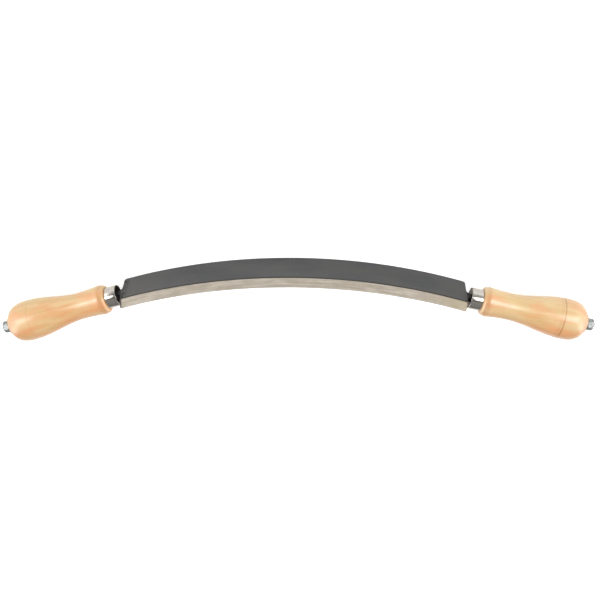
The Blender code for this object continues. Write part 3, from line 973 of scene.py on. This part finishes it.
def build_nut(name):
    """Hexagonal nut: corners cut back by a cone on both faces, countersunk hole, softened edges."""
    half_flats = NUT_ACROSS_FLATS / 2
    face_radius = NUT_FACE * half_flats
    heights = [*NUT_LEVELS, *(NUT_HEIGHT - level for level in reversed(NUT_LEVELS))]
    rings, grime_and_shade = [], []

    def polar(k, radius, height):
        angle = math.tau * k / NUT_SEGMENTS
        return radius * math.cos(angle), radius * math.sin(angle), height

    def circle(radius, height, grime_and_shade_level):
        rings.append([polar(k, radius, height) for k in range(NUT_SEGMENTS)])
        grime_and_shade.append(grime_and_shade_level)

    hole, rim, side, far_rim, far_hole = NUT_GRIME_AND_SHADE
    circle(HOLE_RADIUS, NUT_COUNTERSINK, hole)
    circle(HOLE_RADIUS + NUT_COUNTERSINK, 0.0, rim)
    for height in heights:
        depth = min(height, NUT_HEIGHT - height)
        cone = face_radius + depth / math.tan(NUT_CHAMFER_ANGLE)
        ring = []
        for k in range(NUT_SEGMENTS):
            angle = math.tau * k / NUT_SEGMENTS
            from_flat = (angle + math.pi / 6) % (math.pi / 3) - math.pi / 6
            beside = from_flat - math.copysign(math.pi / 3, from_flat)
            flats = half_flats / math.cos(from_flat), half_flats / math.cos(beside)
            ring.append(polar(k, smooth_least(smooth_least(*flats), cone), height))
        rings.append(ring)
        # Painted shade on the nut's sides near the washer.
        grime_and_shade.append(side * max(0.0, 1 - height / NUT_BASE_SHADE_REACH))
    circle(HOLE_RADIUS + NUT_COUNTERSINK, NUT_HEIGHT, far_rim)
    circle(HOLE_RADIUS, NUT_HEIGHT - NUT_COUNTERSINK, far_hole)
    mesh = ring_mesh(name, rings, closed_tube=True)
    add_attribute(mesh, "grime_and_shade", per_ring(grime_and_shade, NUT_SEGMENTS))
    return mesh


def build_object():
    """The blade moved onto its CAD node, and the same pieces built along the axis of each handle."""
    blade = build_blade()
    xs = [vertex.co.x for vertex in blade.vertices]
    low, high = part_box("blade")
    shift_x = (low.x + high.x - min(xs) - max(xs)) / 2
    shift_y = low.y + BLADE_THICKNESS / 2
    place = Matrix.Translation((shift_x, shift_y, 0.0))
    finishes = [lacquered_steel(), ground_steel(), forged_scale(), cut_thread()]
    add_piece("drawknife_blade", blade, finishes, "blade", place)

    for side in SIDE_SIGN:
        seed = SEEDS[side]
        direction = handle_direction(side)
        centre = tang_root(side) + direction * SHOULDER_AT
        turn = direction.to_track_quat("Z", "Y").to_matrix().to_4x4()
        axis = place @ Matrix.Translation(centre) @ turn

        finish = turned_beech(f"turned_beech_{side}", seed, PITHS[side], BURNT_RINGS[side], GLOSS[side])
        wood = build_wood(f"wood_{side}", GROOVE_WORN[side])
        add_piece(f"wood_{side}", wood, [finish], f"handle_{side}", axis)

        finish = ferrule_steel(f"ferrule_steel_{side}", seed, SPINE_SIDE_PAINTED_TONE[side])
        tube = build_ferrule(f"tube_{side}")
        add_piece(f"tube_{side}", tube, [finish], f"ferrule_{side}", axis)

        finish = zinc_plate(f"zinc_plate_{side}", seed)
        ring = build_washer(f"ring_{side}")
        add_piece(f"ring_{side}", ring, [finish], f"washer_{side}", axis)
        nut = build_nut(f"hexnut_{side}")
        seat = axis @ Matrix.Translation((0, 0, NUT_SEAT))
        add_piece(f"hexnut_{side}", nut, [finish], f"nut_{side}", seat)


# ---------------------------------------------------------------- floor, light and camera

CAMERA_AIM = Vector((-0.00573, -0.01761, 0.03684))
CAMERA_AZIMUTH = math.radians(-3.673)
CAMERA_ELEVATION = math.radians(53.574)
CAMERA_ROLL = math.radians(-176.552)
CAMERA_DISTANCE = 1.20757
CAMERA_LENS = 76.38
CAMERA_CLIP = (0.05, 60.0)
SENSOR_WIDTH = 36.0

# The floor lies just under the spine, so that the two never share a plane.
FLOOR_HALF = 12.0
FLOOR_DROP = 0.0001
FLOOR_GLOW = 0.45

SOFTBOX_DISTANCE = 1.7

# (name, point it faces, turn aside, turn up, size, radiance). The point is in the handle on the
# softbox's own side of the view, and the turns start from the direction of the camera.
SOFTBOXES = (
    ("softbox_left", Vector((0.20, 0, 0.03)), math.radians(-44), math.radians(-5), (0.78, 0.54), 6.5),
    ("softbox_right", Vector((-0.20, 0, 0.03)), math.radians(33), math.radians(-1), (1.15, 0.80), 5.0),
)

# The tent's brightness by the angle in degrees from the camera's direction, positive towards the
# view's up. The two dips are dark flags, which draw the dark bands beside the ferrules' highlights.
TENT_LEVELS = (
    (-180, 0.28), (-125, 0.20), (-62, 0.30), (-34, 0.30), (-24, 0.12), (-18, 0.12), (-16, 0.36),
    (8, 0.50), (10, 0.12), (16, 0.12), (21, 0.48), (38, 0.52), (54, 0.82), (180, 0.92),
)

# The tent's two sides are brighter: how far aside that starts and is full, its strength, and the
# factors on it below and above.
SIDE_REACH = (0.60, 0.78)
SIDE_FILL = 1.75
SIDE_HEIGHTS = (-0.7, 0.7)
SIDE_FACTORS = (1.65, 0.75)


def camera_frame():
    """The direction back towards the camera, the view's up, and the camera's rotation."""
    back = Vector((
        math.sin(CAMERA_AZIMUTH) * math.cos(CAMERA_ELEVATION),
        -math.cos(CAMERA_AZIMUTH) * math.cos(CAMERA_ELEVATION),
        math.sin(CAMERA_ELEVATION),
    ))
    turn = Quaternion(back, CAMERA_ROLL) @ (-back).to_track_quat("-Z", "Y")
    return back, turn @ Vector((0, 1, 0)), turn


def add_camera():
    back, _, turn = camera_frame()
    data = bpy.data.cameras.new("camera")
    data.sensor_width = SENSOR_WIDTH
    data.lens = CAMERA_LENS
    data.clip_start, data.clip_end = CAMERA_CLIP
    camera = bpy.data.objects.new("camera", data)
    camera.rotation_mode = "QUATERNION"
    camera.rotation_quaternion = turn
    camera.location = CAMERA_AIM + back * CAMERA_DISTANCE
    bpy.context.scene.collection.objects.link(camera)
    bpy.context.scene.camera = camera


def add_floor():
    """A pale floor that the camera sees a little brighter than it is lit."""
    f = Finish("floor_white")
    grain = f.noise(f.node("ShaderNodeTexCoord").outputs["Object"], scale=60, detail=3)
    tone = f.mix(grain, (0.86, 0.86, 0.86), (0.90, 0.90, 0.90))
    f.surface(tone, 0.85, Specular_IOR_Level=0.1, Emission_Color=(1, 1, 1, 1))
    glow = f.math("MULTIPLY", f.node("ShaderNodeLightPath").outputs["Is Camera Ray"], FLOOR_GLOW)
    f.feed(glow, f.shader.inputs["Emission Strength"])
    corners = [(-FLOOR_HALF, -FLOOR_HALF, 0), (FLOOR_HALF, -FLOOR_HALF, 0)]
    corners += [(FLOOR_HALF, FLOOR_HALF, 0), (-FLOOR_HALF, FLOOR_HALF, 0)]
    mesh = bpy.data.meshes.new("floor")
    mesh.from_pydata(corners, [], [(0, 1, 2, 3)])
    mesh.materials.append(f.material)
    floor = bpy.data.objects.new("floor", mesh)
    floor.location.z = -FLOOR_DROP
    bpy.context.scene.collection.objects.link(floor)


def add_softboxes():
    """Two upright softboxes, one on each side of the camera."""
    back, up, turn = camera_frame()
    right = turn @ Vector((1, 0, 0))
    for name, aim, aside, lift, size, radiance in SOFTBOXES:
        level = back * math.cos(aside) + right * math.sin(aside)
        direction = level * math.cos(lift) + up * math.sin(lift)
        data = bpy.data.lights.new(name, "AREA")
        data.shape = "RECTANGLE"
        data.size, data.size_y = size
        data.energy = radiance * math.pi * size[0] * size[1]
        light = bpy.data.objects.new(name, data)
        light.location = aim + direction * SOFTBOX_DISTANCE
        across = up.cross(direction).normalized()
        upright = direction.cross(across)
        light.rotation_mode = "QUATERNION"
        light.rotation_quaternion = Matrix((across, upright, direction)).transposed().to_quaternion()
        light.visible_camera = False
        bpy.context.scene.collection.objects.link(light)


def add_surroundings():
    """A tent all round: plain white to the camera, and as light dim overhead and bright at the sides."""
    back, up, turn = camera_frame()
    world = bpy.data.worlds.new("studio")
    world.use_nodes = True
    bpy.context.scene.world = world
    world.node_tree.nodes.clear()
    n = Nodes(world.node_tree)
    outward = n.node("ShaderNodeTexCoord").outputs["Generated"]

    def along(direction):
        made = n.node("ShaderNodeVectorMath", operation="DOT_PRODUCT")
        n.feed(outward, made.inputs[0])
        made.inputs[1].default_value = direction
        return made.outputs["Value"]

    place = n.node("ShaderNodeMapRange")
    n.feed(n.math("ARCTAN2", along(up), along(back)), place.inputs["Value"])
    place.inputs["From Min"].default_value = -math.pi
    place.inputs["From Max"].default_value = math.pi
    ramp = n.node("ShaderNodeValToRGB")
    n.feed(place.outputs[0], ramp.inputs["Fac"])
    # A new ramp already has its first two elements.
    elements = ramp.color_ramp.elements
    for number, (degrees, level) in enumerate(TENT_LEVELS):
        at = (degrees + 180) / 360
        element = elements[number] if number < 2 else elements.new(at)
        element.position = at
        element.color = (level, level, level, 1.0)

    aside = n.math("ABSOLUTE", along(turn @ Vector((1, 0, 0))))
    side_fill = n.spread(aside, *SIDE_REACH, 0.0, SIDE_FILL)
    side_fill = n.math("MULTIPLY", side_fill, n.spread(along(up), *SIDE_HEIGHTS, *SIDE_FACTORS))
    tent = n.node("ShaderNodeBackground")
    n.feed(ramp.outputs["Color"], tent.inputs["Color"])
    sides = n.node("ShaderNodeBackground")
    n.feed(side_fill, sides.inputs["Strength"])
    light = n.node("ShaderNodeAddShader")
    n.feed(tent.outputs[0], light.inputs[0])
    n.feed(sides.outputs[0], light.inputs[1])
    seen = n.node("ShaderNodeBackground")
    for background in (sides, seen):
        background.inputs["Color"].default_value = (1, 1, 1, 1)
    chosen = n.node("ShaderNodeMixShader")
    n.feed(n.node("ShaderNodeLightPath").outputs["Is Camera Ray"], chosen.inputs["Fac"])
    n.feed(light.outputs[0], chosen.inputs[1])
    n.feed(seen.outputs[0], chosen.inputs[2])
    n.feed(chosen.outputs[0], n.node("ShaderNodeOutputWorld").inputs["Surface"])


build_object()
add_floor()
add_softboxes()
add_surroundings()
add_camera()
bpy.context.scene.view_settings.view_transform = "Standard"
